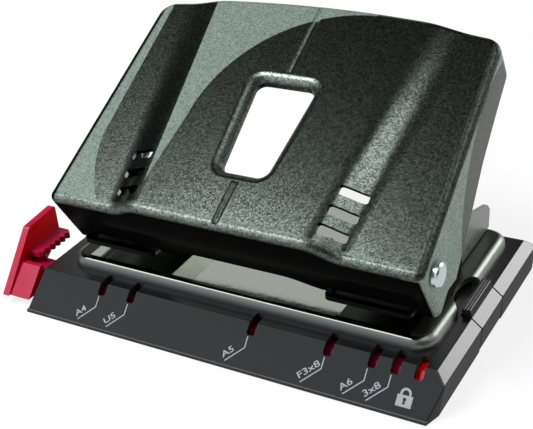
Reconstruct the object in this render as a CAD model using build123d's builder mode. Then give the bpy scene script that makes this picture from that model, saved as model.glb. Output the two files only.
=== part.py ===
from build123d import *
import math
import os

os.makedirs("parts", exist_ok=True)

# Frame: millimetres, X along the width, Y from the open front to the rear, Z up.
# The origin is on the desk below the middle of the two punched holes.

# Paper standards that set the scale
hole_spacing = 80.0
paper_edge_to_hole = 12.0
lock_distance = 63.0
format_distances = [148.5, 139.7, 105.0, 85.0, 74.0, 68.5, lock_distance]

# Clearances
sliding_gap = 0.3
running_gap = 0.05
presser_gap = 0.15
floor_gap = 0.2

# A length greater than the whole punch, for cuts that run right through it
past_all = 200.0

# Punches and the frames that hold them
punch_x = hole_spacing / 2
punch_radius = 2.75
tip_hollow_radius = 5.0
tip_hollow_depth = 0.8
punch_bevel = 0.5
frame_sheet = 1.2
frame_outer_reach = 5.0
frame_inner_reach = 16.4
frame_outer_x = punch_x + frame_outer_reach
frame_inner_x = punch_x - frame_inner_reach

# Base
deck_z = 8.8
base_bottom_z = 0.1
toe_height = 0.8
toe_ledge = 0.4
deck_front_y = -24.5
deck_rear_y = 33.5
bed_half_width = frame_outer_x + 5.2
guide_head_length = 7.9
right_rail_width = 3.2
deck_left_x = guide_head_length - lock_distance
deck_right_x = bed_half_width + right_rail_width
side_facet_out = 2.6
side_facet_down = 2.2
side_draft = 0.6
left_end_draft = 1.1
rear_facet = 2.0
toe_facet_inset = 1.9
toe_facet_length = 4.2
skin = 1.5
outer_edge_round = 0.5
slope_foot_y = deck_front_y - (deck_z - base_bottom_z - toe_height)
front_toe_y = slope_foot_y - toe_ledge
deck_under_z = deck_z - skin
facet_corner_z = deck_z - side_facet_down
bar_back_y = -18.0
bar_wall = 2.5
chamber_wall = 2.4
chamber_front_y = bar_back_y + bar_wall
chamber_rear_y = deck_rear_y - skin
chamber_left_x = deck_left_x + chamber_wall
chamber_right_x = deck_right_x - chamber_wall
chamber_mid_x = (chamber_left_x + chamber_right_x) / 2
chamber_mid_y = (chamber_front_y + chamber_rear_y) / 2
post_radius = 3.5
chute_radius = 4.5

# Floor, mat and screws
mat_thickness = 0.9
mat_inset = 1.5
mat_corner = 3.0
floor_thickness = 1.5
floor_top_z = mat_thickness + floor_thickness
screw_radius = 1.5
screw_hole_radius = screw_radius + 0.1
screw_head_radius = 2.8
screw_cone_height = 1.3
screw_x = 18.0
screw_ys = [chamber_front_y + 5.5, chamber_rear_y - 5.0]
screw_places = [(side * screw_x, y) for side in (-1, 1) for y in screw_ys]

# Bed plate
bed_top_z = 11.6
bed_sheet = 1.5
bed_front_y = deck_front_y + 4.2
bed_rear_y = deck_rear_y - 0.7
bed_mid_y = (bed_front_y + bed_rear_y) / 2
bed_depth = bed_rear_y - bed_front_y
bed_corner = 5.0
bed_edge_round = 2.4
bed_under_z = bed_top_z - bed_sheet
screw_end_cover = 0.4
screw_end_z = bed_top_z - screw_end_cover
scoop_x = deck_right_x + 3.6
scoop_radius = 10.0

# Chip door
door_seam = 0.5
door_front_y = -3.9
door_rear_y = 10.6
door_mid_y = (door_front_y + door_rear_y) / 2
door_well_x = deck_right_x - 2.8
door_inner_x = deck_right_x - 1.4
door_swing_gap = 0.5
door_bottom_z = base_bottom_z + door_swing_gap
door_foot_bevel = 0.6
grip_inner_x = deck_right_x - 2.4
grip_outer_x = deck_right_x - 0.4
grip_top_z = deck_z + 2.0
grip_under_z = deck_under_z - sliding_gap
grip_ridge_step = 0.7
grip_ridge_radius = 0.2
door_edge_round = 0.35
hinge_x = deck_right_x + 0.6
hinge_z = 2.6
hinge_radius = 0.8
hinge_overhang = 2.5

# Punch frames
web_under_z = 16.0
web_top_z = web_under_z + frame_sheet
web_front_y = -19.0
web_corner = 1.5
wall_setback = 4.5
stop_y = paper_edge_to_hole
frame_rear_y = 31.6
frame_rear_lean = 0.6
frame_bend = 0.9
wall_top_z = 23.0
wall_top_front_y = -8.5
wall_top_rear_y = 17.0
wall_shoulder_y = 29.8
wall_shoulder_z = 19.2
wall_rear_z = 17.2
inner_wall_top_rear_y = 14.0
inner_wall_rear_z = 13.4
ear_radius = 3.0
ear_clearance = 0.6
rivet_radius = 1.5
rivet_head_radius = 2.6
rivet_head_height = 0.9
rivet_head_bevel = 0.5
rivet_x = (frame_inner_x + frame_outer_x) / 2
rivet_front_set = 6.0
rivet_rear_set = 14.5
rivet_ys = [stop_y + rivet_front_set, stop_y + rivet_rear_set]
rivet_places = [(side * rivet_x, y) for side in (-1, 1) for y in rivet_ys]

# Upper guide plates
guide_plate_z = 20.5
guide_plate_thickness = 1.5
guide_plate_half = 6.0
guide_tab_half = 3.0
guide_plate_top_z = guide_plate_z + guide_plate_thickness

# Lever, in its own slope: along runs up the panel, drop runs square below it
panel_front_y = -22.55
panel_front_z = 31.3
panel_angle = 29.6
panel_sheet = 1.1
flange_reach = 5.0
panel_half_front = frame_outer_x + flange_reach
panel_taper = 2.4
panel_half_back = panel_half_front - panel_taper
panel_side_length = 63.0
panel_mid_length = 66.3
skirt_along = -1.6
skirt_drop = 13.0
plateau_front_rise = 3.4
plateau_back_rise = 1.5
lever_block_half = 1.2 * panel_half_front
lever_block_depth = 2.5 * skirt_drop
ramp_outer_front = 32.0
ramp_inner_front = 22.0
ramp_outer_back = 40.0
ramp_inner_back = 27.0
panel_edge_round = 1.7
front_corner_round = 1.9
back_corner_round = 5.0
window_front = 14.3
window_back = 41.0
window_half_front = 6.05
window_half_back = 8.15
window_corner = 2.4
window_collar = 1.4
window_collar_drop = 1.8
window_rim_round = 2.6
slot_alongs = [4.1, 9.2, 14.6]
slot_length = 6.8
slot_width = 2.5
slot_corner = 0.7
groove_radius = 1.2
groove_depth = 0.6
groove_front_start = skirt_along + panel_edge_round + 0.2
groove_front_end = window_front - window_rim_round - 0.3
groove_rear_start = window_back + window_rim_round + 0.5
flange_profile = [
    (0.6, skirt_drop),
    (5.4, 17.4),
    (10.3, 20.5),
    (15.4, 19.1),
    (25.0, 16.5),
    (37.1, 12.8),
    (49.7, 10.8),
    (61.7, 9.3),
]

# Pivot
pivot_along = 3.2
pivot_drop = 5.6
pivot_shank_radius = 1.9
pivot_collar_radius = 2.9
pivot_collar_length = 1.8
pivot_journal_radius = 2.2
pivot_head_radius = 2.9
pivot_head_length = 1.4
pivot_head_bevel = 0.4
pivot_peen_length = 0.8
pivot_peen_radius = pivot_shank_radius + 0.7

# Springs and clips
spring_wire = 0.6
spring_turns = 3.5
spring_side_gap = 0.2
clip_radius = 4.3
clip_thickness = 0.7
clip_groove_radius = 2.2
clip_mouth = 2 * clip_groove_radius - 0.8
clip_z = 32.6
punch_top_z = clip_z + 2.9
punch_tip_z = web_under_z + 0.3

# Pressers
nose_radius = 1.5
nose_y = -1.05
presser_half_width = 4.5
presser_sheet = 1.2
presser_foot = 7.2
presser_bend = 3.4

# Paper guide
pointer_x = deck_right_x - 3.6
pointer_half_width = 1.2
pointer_rise = 0.6
bar_right_x = pointer_x + 1.55
bar_bottom_z = 2.6
fin_thickness = 2.3
fin_edge_round = 0.6
fin_front_round = 1.6
fin_rear_round = 0.7
fin_toe = 0.6
block_right_x = deck_left_x - left_end_draft - 0.5
fin_rear_y = -8.3
fin_top_front_z = 16.4
fin_top_rear_z = 17.3
fin_top_front_y = -19.2
guide_bottom_z = 2.4
block_top_run = 1.2
ledge_width = 3.6
ledge_front_y = -21.0
ledge_top_z = 10.5
ledge_thickness = 1.7
ledge_corner = 0.6
ledge_root = 0.4
ledge_rib_radius = 0.7
ledge_rib_count = 6
ledge_rib_inset = 1.2
window_slot = 2.2
window_slot_corner = 0.6
window_slot_front_y = deck_front_y - 2.2
window_slot_rear_y = bed_front_y - 0.3
window_slot_mid_y = (window_slot_front_y + window_slot_rear_y) / 2
format_windows_x = [pointer_x + lock_distance - reach for reach in format_distances]

# Derived places on the lever's slope
slope = math.radians(panel_angle)
along_y, along_z = math.cos(slope), math.sin(slope)
drop_y, drop_z = math.sin(slope), -math.cos(slope)


def on_slope(along, drop):
    y = panel_front_y + along * along_y + drop * drop_y
    z = panel_front_z + along * along_z + drop * drop_z
    return y, z


def panel_half_width(along):
    return panel_half_front + (panel_half_back - panel_half_front) * along / panel_side_length


def plateau_rise(along):
    return plateau_front_rise + (plateau_back_rise - plateau_front_rise) * along / panel_side_length


def ramp_sides(along):
    share = along / panel_side_length
    outer = ramp_outer_front + (ramp_outer_back - ramp_outer_front) * share
    inner = ramp_inner_front + (ramp_inner_back - ramp_inner_front) * share
    return outer, inner


pivot_y, pivot_z = on_slope(pivot_along, pivot_drop)
plateau_slope = slope - math.atan2(plateau_front_rise - plateau_back_rise, panel_side_length)
plateau_y, plateau_z = on_slope(0, -plateau_front_rise)
plateau_plane = Plane(
    origin=(0, plateau_y, plateau_z),
    x_dir=(1, 0, 0),
    z_dir=(0, -math.sin(plateau_slope), math.cos(plateau_slope)),
)
slope_plane = Plane(origin=(0, panel_front_y, panel_front_z), x_dir=(1, 0, 0), z_dir=(0, -drop_y, -drop_z))
side_plane = Plane(origin=(0, panel_front_y, panel_front_z), x_dir=(0, along_y, along_z), z_dir=(1, 0, 0))
skin_shift = skin * math.sqrt(2)


def front_slope_y(z):
    return deck_front_y - (deck_z - z)


# Base shell: the moulded body that carries everything else
side_outline = [
    (front_toe_y, base_bottom_z),
    (front_toe_y, base_bottom_z + toe_height),
    (slope_foot_y, base_bottom_z + toe_height),
    (deck_front_y, deck_z),
    (deck_rear_y, deck_z),
    (deck_rear_y + rear_facet, deck_z - rear_facet),
    (deck_rear_y + rear_facet - side_draft, base_bottom_z),
]
end_outline = [
    (deck_left_x - left_end_draft, base_bottom_z),
    (deck_left_x, deck_z),
    (deck_right_x, deck_z),
    (deck_right_x + side_facet_out, deck_z - side_facet_down),
    (deck_right_x + side_facet_out - side_draft, base_bottom_z),
]
channel_outline = [
    (front_slope_y(deck_under_z) + skin_shift, deck_under_z),
    (front_slope_y(bar_bottom_z - sliding_gap) + skin_shift, bar_bottom_z - sliding_gap),
    (bar_back_y + sliding_gap, bar_bottom_z - sliding_gap),
    (bar_back_y + sliding_gap, deck_under_z),
]
rail_x = deck_right_x + side_facet_out
toe_facet_top = Vector(rail_x, front_slope_y(facet_corner_z), facet_corner_z)
toe_facet_front = Vector(rail_x - toe_facet_inset, front_toe_y, base_bottom_z)
toe_facet_side = Vector(rail_x - side_draft, front_toe_y + toe_facet_length, base_bottom_z)
toe_facet_out = (toe_facet_front - toe_facet_top).cross(toe_facet_side - toe_facet_top).normalized()
with BuildPart() as base_shell:
    with BuildSketch(Plane.YZ):
        Polygon(*side_outline, align=None)
    extrude(amount=past_all, both=True)
    with BuildSketch(Plane.XZ):
        Polygon(*end_outline, align=None)
    extrude(amount=past_all, both=True, mode=Mode.INTERSECT)
    # Small facet that takes off the front right-hand toe
    split(bisect_by=Plane(origin=toe_facet_top, z_dir=toe_facet_out), keep=Keep.BOTTOM)
    outside_edges = base_shell.edges().filter_by(lambda e: e.center().Z > base_bottom_z + toe_height + 0.1)
    fillet(outside_edges, outer_edge_round)
    # Channel for the paper guide's bar, open at the left end
    with BuildSketch(Plane.YZ.offset(bar_right_x + 1.0)):
        Polygon(*channel_outline, align=None)
    extrude(amount=-past_all, mode=Mode.SUBTRACT)
    # Chip chamber, open below
    with BuildSketch(Plane.XY):
        with Locations((chamber_mid_x, chamber_mid_y)):
            Rectangle(chamber_right_x - chamber_left_x, chamber_rear_y - chamber_front_y)
    extrude(amount=deck_under_z, mode=Mode.SUBTRACT)
    # Screw posts down to the floor
    with BuildSketch(Plane.XY.offset(floor_top_z)):
        with Locations(*screw_places):
            Circle(post_radius)
    extrude(amount=deck_under_z - floor_top_z)
    with BuildSketch(Plane.XY):
        with Locations(*screw_places):
            Circle(screw_hole_radius)
        with Locations((-punch_x, 0), (punch_x, 0)):
            Circle(chute_radius)
    extrude(amount=past_all, mode=Mode.SUBTRACT)
    # Format windows over the guide's bar
    with BuildSketch(Plane.XY.offset((bar_bottom_z + deck_under_z) / 2)):
        with Locations(*[(x, window_slot_mid_y) for x in format_windows_x]):
            RectangleRounded(window_slot, window_slot_rear_y - window_slot_front_y, window_slot_corner)
    extrude(amount=past_all, mode=Mode.SUBTRACT)
    # Door well in the right-hand rail
    with BuildSketch(Plane.XY):
        with Locations((door_well_x + past_all / 2, door_mid_y)):
            Rectangle(past_all, door_rear_y - door_front_y)
    extrude(amount=past_all, mode=Mode.SUBTRACT)
    with BuildSketch(Plane.XZ.offset(-door_mid_y)):
        with Locations((hinge_x, hinge_z)):
            Circle(hinge_radius)
    extrude(amount=(door_rear_y - door_front_y) / 2 + hinge_overhang, both=True, mode=Mode.SUBTRACT)
base_shell.part.label = "base shell"
export_step(base_shell.part, "parts/base_shell.step")

# Base floor: closes the chip chamber from below
with BuildPart() as base_floor:
    with BuildSketch(Plane.XY.offset(mat_thickness)):
        with Locations((chamber_mid_x, chamber_mid_y)):
            Rectangle(
                chamber_right_x - chamber_left_x - 2 * floor_gap,
                chamber_rear_y - chamber_front_y - 2 * floor_gap,
            )
    extrude(amount=floor_thickness)
    for place_x, place_y in screw_places:
        with BuildSketch(Plane(origin=(place_x, place_y, 0), x_dir=(1, 0, 0), z_dir=(0, -1, 0))):
            Polygon(
                (0, mat_thickness),
                (screw_head_radius, mat_thickness),
                (screw_radius, mat_thickness + screw_cone_height),
                (screw_radius, floor_top_z),
                (0, floor_top_z),
                align=None,
            )
        revolve(axis=Axis((place_x, place_y, 0), (0, 0, 1)), mode=Mode.SUBTRACT)
base_floor.part.label = "base floor"
export_step(base_floor.part, "parts/base_floor.step")

# Base screws: four countersunk screws from below into the bed plate
with BuildPart() as base_screws:
    for place_x, place_y in screw_places:
        with BuildSketch(Plane(origin=(place_x, place_y, 0), x_dir=(1, 0, 0), z_dir=(0, -1, 0))):
            Polygon(
                (0, mat_thickness),
                (screw_head_radius, mat_thickness),
                (screw_radius, mat_thickness + screw_cone_height),
                (screw_radius, screw_end_z),
                (0, screw_end_z),
                align=None,
            )
        revolve(axis=Axis((place_x, place_y, 0), (0, 0, 1)))
base_screws.part.label = "base screws"
export_step(base_screws.part, "parts/base_screws.step")

# Non-slip mat: the flat sheet that rests on the desk
with BuildPart() as non_slip_mat:
    with BuildSketch(Plane.XY):
        with Locations((chamber_mid_x, chamber_mid_y)):
            RectangleRounded(
                chamber_right_x - chamber_left_x - 2 * mat_inset,
                chamber_rear_y - chamber_front_y - 2 * mat_inset,
                mat_corner,
            )
    extrude(amount=mat_thickness)
non_slip_mat.part.label = "non-slip mat"
export_step(non_slip_mat.part, "parts/non_slip_mat.step")

# Bed plate: a shallow pressed pan with the two die holes
with BuildPart() as bed_plate:
    with BuildSketch(Plane.XY.offset(deck_z)):
        with Locations((0, bed_mid_y)):
            RectangleRounded(2 * bed_half_width, bed_depth, bed_corner)
    extrude(amount=bed_top_z - deck_z)
    fillet(bed_plate.faces().sort_by(Axis.Z)[-1].edges(), bed_edge_round)
    with BuildSketch(Plane.XY.offset(deck_z)):
        with Locations((0, bed_mid_y)):
            RectangleRounded(
                2 * (bed_half_width - bed_sheet),
                bed_depth - 2 * bed_sheet,
                bed_corner - bed_sheet,
            )
    extrude(amount=bed_under_z - deck_z, mode=Mode.SUBTRACT)
    with BuildSketch(Plane.XY.offset(deck_z)):
        with Locations((-punch_x, 0), (punch_x, 0)):
            Circle(punch_radius + running_gap)
        with Locations(*rivet_places):
            Circle(rivet_radius)
        with Locations((scoop_x, door_mid_y)):
            Circle(scoop_radius)
    extrude(amount=past_all, mode=Mode.SUBTRACT)
    with BuildSketch(Plane.XY.offset(deck_z)):
        with Locations(*screw_places):
            Circle(screw_radius)
    extrude(amount=screw_end_z - deck_z, mode=Mode.SUBTRACT)
bed_plate.part.label = "bed plate"
export_step(bed_plate.part, "parts/bed_plate.step")

# Chip door: a piece of the right-hand rail, hinged along its foot
door_outline = [
    (deck_right_x, deck_z),
    (deck_right_x + side_facet_out, deck_z - side_facet_down),
    (deck_right_x + side_facet_out - side_draft, door_bottom_z),
    (door_inner_x + door_foot_bevel, door_bottom_z),
    (door_inner_x, door_bottom_z + door_foot_bevel),
    (door_inner_x, grip_under_z),
    (grip_inner_x, grip_under_z),
    (grip_inner_x, grip_top_z),
    (grip_outer_x, grip_top_z),
]
door_half = (door_rear_y - door_front_y) / 2 - door_seam
with BuildPart() as chip_door:
    with BuildSketch(Plane.XZ.offset(-door_mid_y)):
        Polygon(*door_outline, align=None)
    extrude(amount=door_half, both=True)
    rail_edges = chip_door.edges().filter_by(Axis.Y).filter_by(lambda e: e.center().X > door_inner_x)
    fillet(rail_edges.filter_by(lambda e: e.center().Z > hinge_z), door_edge_round)
    with BuildSketch(Plane.XZ.offset(-door_mid_y)):
        with Locations(*[(grip_inner_x + n * grip_ridge_step, grip_top_z) for n in (1, 2)]):
            Circle(grip_ridge_radius)
        with Locations((hinge_x, hinge_z)):
            Circle(hinge_radius + running_gap)
    extrude(amount=past_all, both=True, mode=Mode.SUBTRACT)
chip_door.part.label = "chip door"
export_step(chip_door.part, "parts/chip_door.step")

# Door hinge pin
with BuildPart() as door_hinge_pin:
    with BuildSketch(Plane.XZ.offset(-door_mid_y)):
        with Locations((hinge_x, hinge_z)):
            Circle(hinge_radius)
    extrude(amount=(door_rear_y - door_front_y) / 2 + hinge_overhang, both=True)
door_hinge_pin.part.label = "door hinge pin"
export_step(door_hinge_pin.part, "parts/door_hinge_pin.step")

# Punch frames: one folded sheet each, a web over the paper slot between two walls
ear_front_low = on_slope(pivot_along - ear_radius, skirt_drop + ear_clearance)
ear_front_high = on_slope(pivot_along - ear_radius, pivot_drop)
wall_front = [
    (stop_y, web_under_z),
    (web_front_y + wall_setback, web_under_z),
    (web_front_y + wall_setback, web_top_z),
    ear_front_low,
    ear_front_high,
    (pivot_y + 0.4 * ear_radius, pivot_z + 0.9 * ear_radius),
    (wall_top_front_y, wall_top_z),
]
wall_foot = [
    (frame_rear_y - frame_rear_lean, bed_top_z + frame_sheet),
    (frame_rear_y - frame_rear_lean, bed_top_z),
    (stop_y, bed_top_z),
]
outer_wall_rear = [
    (wall_top_rear_y, wall_top_z),
    (wall_shoulder_y, wall_shoulder_z),
    (frame_rear_y, wall_rear_z),
]
inner_wall_rear = [(inner_wall_top_rear_y, wall_top_z), (frame_rear_y - frame_rear_lean, inner_wall_rear_z)]
fold_outline = [
    (web_front_y, web_under_z),
    (web_front_y, web_top_z),
    (stop_y + frame_sheet, web_top_z),
    (stop_y + frame_sheet, bed_top_z + frame_sheet),
    (frame_rear_y - frame_rear_lean, bed_top_z + frame_sheet),
    (frame_rear_y - frame_rear_lean, bed_top_z),
    (stop_y, bed_top_z),
    (stop_y, web_under_z),
]
with BuildPart() as punch_frame_right:
    walls = [(frame_inner_x, inner_wall_rear), (frame_outer_x - frame_sheet, outer_wall_rear)]
    for face_x, wall_rear in walls:
        with BuildSketch(Plane.YZ.offset(face_x)):
            Polygon(*wall_front, *wall_rear, *wall_foot, align=None)
            with Locations((pivot_y, pivot_z)):
                Circle(ear_radius)
        extrude(amount=frame_sheet)
    with BuildSketch(Plane.YZ.offset(frame_inner_x)):
        Polygon(*fold_outline, align=None)
    extrude(amount=frame_outer_x - frame_inner_x)
    lengthwise_edges = punch_frame_right.edges().filter_by(Axis.Y)
    foot_edges = lengthwise_edges.filter_by(lambda e: e.center().Z < bed_top_z + frame_sheet / 2)
    fillet(foot_edges, frame_bend)
    upright_edges = punch_frame_right.edges().filter_by(Axis.Z)
    fillet(upright_edges.filter_by(lambda e: e.center().Y < web_front_y + web_corner), web_corner)
    with BuildSketch(Plane.XY.offset(bed_top_z)):
        with Locations((punch_x, 0)):
            Circle(punch_radius + running_gap)
        with Locations(*[(rivet_x, y) for y in rivet_ys]):
            Circle(rivet_radius)
    extrude(amount=web_top_z - bed_top_z + frame_sheet, mode=Mode.SUBTRACT)
    with BuildSketch(Plane.YZ):
        with Locations((0, guide_plate_z + guide_plate_thickness / 2)):
            Rectangle(2 * guide_tab_half, guide_plate_thickness)
        with Locations((pivot_y, pivot_z)):
            Circle(pivot_shank_radius)
    extrude(amount=past_all, mode=Mode.SUBTRACT)
punch_frame_right.part.label = "punch frame right"
export_step(punch_frame_right.part, "parts/punch_frame_right.step")

with BuildPart() as punch_frame_left:
    add(mirror(punch_frame_right.part, about=Plane.YZ))
punch_frame_left.part.label = "punch frame left"
export_step(punch_frame_left.part, "parts/punch_frame_left.step")

# Frame rivets: four, through the frames' feet and the bed plate
with BuildPart() as frame_rivets:
    for place_x, place_y in rivet_places:
        with BuildSketch(Plane(origin=(place_x, place_y, 0), x_dir=(1, 0, 0), z_dir=(0, -1, 0))):
            Polygon(
                (0, bed_under_z - rivet_head_height),
                (rivet_head_radius - rivet_head_bevel, bed_under_z - rivet_head_height),
                (rivet_head_radius, bed_under_z),
                (rivet_radius, bed_under_z),
                (rivet_radius, bed_top_z + frame_sheet),
                (rivet_head_radius, bed_top_z + frame_sheet),
                (rivet_head_radius - rivet_head_bevel, bed_top_z + frame_sheet + rivet_head_height),
                (0, bed_top_z + frame_sheet + rivet_head_height),
                align=None,
            )
        revolve(axis=Axis((place_x, place_y, 0), (0, 0, 1)))
frame_rivets.part.label = "frame rivets"
export_step(frame_rivets.part, "parts/frame_rivets.step")

# Upper guide plates: keep each punch upright above the web
with BuildPart() as upper_guide_right:
    with BuildSketch(Plane.XY.offset(guide_plate_z)):
        with Locations(((frame_inner_x + frame_outer_x) / 2, 0)):
            Rectangle(frame_outer_x - frame_inner_x - 2 * frame_sheet, 2 * guide_plate_half)
            Rectangle(frame_outer_x - frame_inner_x, 2 * guide_tab_half)
        with Locations((punch_x, 0)):
            Circle(punch_radius + running_gap, mode=Mode.SUBTRACT)
    extrude(amount=guide_plate_thickness)
upper_guide_right.part.label = "upper guide right"
export_step(upper_guide_right.part, "parts/upper_guide_right.step")

with BuildPart() as upper_guide_left:
    add(mirror(upper_guide_right.part, about=Plane.YZ))
upper_guide_left.part.label = "upper guide left"
export_step(upper_guide_left.part, "parts/upper_guide_left.step")

# Punches: hardened rods with a hollow-cut tip and a groove for the clip
with BuildPart() as punch_right:
    with BuildSketch(Plane(origin=(punch_x, 0, 0), x_dir=(1, 0, 0), z_dir=(0, -1, 0))):
        Polygon(
            (0, punch_tip_z),
            (punch_radius, punch_tip_z),
            (punch_radius, clip_z),
            (clip_groove_radius, clip_z),
            (clip_groove_radius, clip_z + clip_thickness),
            (punch_radius, clip_z + clip_thickness),
            (punch_radius, punch_top_z - punch_bevel),
            (punch_radius - punch_bevel, punch_top_z),
            (0, punch_top_z),
            align=None,
        )
    revolve(axis=Axis((punch_x, 0, 0), (0, 0, 1)))
    with BuildSketch(Plane.XZ):
        with Locations((punch_x, punch_tip_z + tip_hollow_depth - tip_hollow_radius)):
            Circle(tip_hollow_radius)
    extrude(amount=past_all, both=True, mode=Mode.SUBTRACT)
punch_right.part.label = "punch right"
export_step(punch_right.part, "parts/punch_right.step")

with BuildPart() as punch_left:
    add(mirror(punch_right.part, about=Plane.YZ))
punch_left.part.label = "punch left"
export_step(punch_left.part, "parts/punch_left.step")

# Spring clips: open rings in the punches' grooves
with BuildPart() as spring_clip_right:
    with BuildSketch(Plane.XY.offset(clip_z)):
        with Locations((punch_x, 0)):
            Circle(clip_radius)
            Circle(clip_groove_radius, mode=Mode.SUBTRACT)
        with Locations((punch_x, -clip_radius)):
            Rectangle(clip_mouth, 2 * clip_radius, mode=Mode.SUBTRACT)
    extrude(amount=clip_thickness)
spring_clip_right.part.label = "spring clip right"
export_step(spring_clip_right.part, "parts/spring_clip_right.step")

with BuildPart() as spring_clip_left:
    add(mirror(spring_clip_right.part, about=Plane.YZ))
spring_clip_left.part.label = "spring clip left"
export_step(spring_clip_left.part, "parts/spring_clip_left.step")

# Return springs: wound round the punches between guide plate and clip
coil_radius = punch_radius + spring_side_gap + spring_wire / 2
coil_height = clip_z - guide_plate_top_z - spring_wire
coil_pitch = coil_height / spring_turns
coil_bottom_z = guide_plate_top_z + spring_wire / 2
quarter_turns = round(4 * spring_turns)


def coil_point(turn):
    angle = 2 * math.pi * turn
    x = punch_x + coil_radius * math.cos(angle)
    y = coil_radius * math.sin(angle)
    return Vector(x, y, coil_bottom_z + coil_height * turn / spring_turns)


def coil_direction(turn):
    angle = 2 * math.pi * turn
    rise = coil_pitch / (2 * math.pi * coil_radius)
    return Vector(-math.sin(angle), math.cos(angle), rise).normalized()


def biarc_middle(start, start_way, end, end_way):
    chord = end - start
    ways = start_way + end_way
    bend = 4 - ways.dot(ways)
    reach = (math.sqrt(chord.dot(ways) ** 2 + bend * chord.dot(chord)) - chord.dot(ways)) / bend
    return (start + start_way * reach + end - end_way * reach) * 0.5


with BuildPart() as return_spring_right:
    with BuildLine() as coil_line:
        for quarter in range(quarter_turns):
            turn_start = spring_turns * quarter / quarter_turns
            turn_end = spring_turns * (quarter + 1) / quarter_turns
            start_way = coil_direction(turn_start)
            end_way = coil_direction(turn_end)
            middle = biarc_middle(coil_point(turn_start), start_way, coil_point(turn_end), end_way)
            first_arc = TangentArc(coil_point(turn_start), middle, tangent=start_way)
            TangentArc(middle, coil_point(turn_end), tangent=first_arc % 1)
    with BuildSketch(Plane(origin=coil_point(0), z_dir=coil_direction(0))):
        Circle(spring_wire / 2)
    sweep(path=coil_line.wire())
wire_points = [coil_line.wire() @ (n / 280) for n in range(281)]
points_per_turn = round(280 / spring_turns)
turn_gaps = [
    (wire_points[n] - wire_points[m]).length - spring_wire
    for n in range(281)
    for m in range(n + points_per_turn // 2, 281)
]
print("least gap between the spring's turns", round(min(turn_gaps), 3))
return_spring_right.part.label = "return spring right"
export_step(return_spring_right.part, "parts/return_spring_right.step")

with BuildPart() as return_spring_left:
    add(return_spring_right.part.moved(Location((-hole_spacing, 0, 0))))
return_spring_left.part.label = "return spring left"
export_step(return_spring_left.part, "parts/return_spring_left.step")


# Lever: one stamped sheet, the skin between an outer and an inner form
def slope_section(along, sink):
    outer, inner = ramp_sides(along)
    top = plateau_rise(along) - sink
    y, z = on_slope(along, 0)
    with BuildSketch(Plane(origin=(0, y, z), x_dir=(1, 0, 0), z_dir=(0, -along_y, -along_z))) as section:
        with BuildLine():
            Polyline(
                (lever_block_half, -sink),
                (lever_block_half, -lever_block_depth),
                (-lever_block_half, -lever_block_depth),
                (-lever_block_half, -sink),
                (-outer, -sink),
            )
            Spline((-outer, -sink), (-inner, top), tangents=((1, 0), (1, 0)))
            Line((-inner, top), (inner, top))
            Spline((inner, top), (outer, -sink), tangents=((1, 0), (1, 0)))
            Line((outer, -sink), (lever_block_half, -sink))
        make_face()
    return section.sketch


def slope_outline(inset):
    front = skirt_along + inset
    half_front = panel_half_width(skirt_along) - inset
    half_back = panel_half_width(panel_side_length) - inset
    with BuildSketch(slope_plane) as outline:
        with BuildLine():
            Polyline(
                (-half_back, panel_side_length - inset),
                (-half_front, front),
                (half_front, front),
                (half_back, panel_side_length - inset),
            )
            ThreePointArc(
                (half_back, panel_side_length - inset),
                (0, panel_mid_length - inset),
                (-half_back, panel_side_length - inset),
            )
        make_face()
        fillet(outline.vertices().sort_by(Axis.Y)[:2], front_corner_round - inset)
        fillet(outline.vertices().sort_by(Axis.Y)[-2:], back_corner_round - inset)
    return outline.sketch


def top_rim(solid):
    up = slope_plane.z_dir
    tops = [f for f in solid.faces() if f.normal_at(f.center()).dot(up) > 0.8]
    seen = {}
    for face in tops:
        for edge in face.edges():
            middle = edge @ 0.5
            key = (round(middle.X, 2), round(middle.Y, 2), round(middle.Z, 2))
            seen.setdefault(key, []).append(edge)
    return [group[0] for group in seen.values() if len(group) == 1]


def window_rim(point):
    place = plateau_plane.to_local_coords(point)
    inside = abs(place.X) < window_half_back + 0.1 and window_front - 0.1 < place.Y < window_back + 0.1
    return inside and abs(place.Z) < 0.05


with BuildPart() as lever_outer:
    loft([slope_section(-6, 0), slope_section(panel_mid_length + 6, 0)])
    extrude(slope_outline(0), amount=past_all, both=True, mode=Mode.INTERSECT)
    fillet(top_rim(lever_outer.part), panel_edge_round)

with BuildPart() as lever_inner:
    loft([slope_section(-6, panel_sheet), slope_section(panel_mid_length + 6, panel_sheet)])
    extrude(slope_outline(panel_sheet), amount=past_all, both=True, mode=Mode.INTERSECT)
    fillet(top_rim(lever_inner.part), panel_edge_round - panel_sheet)

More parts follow.
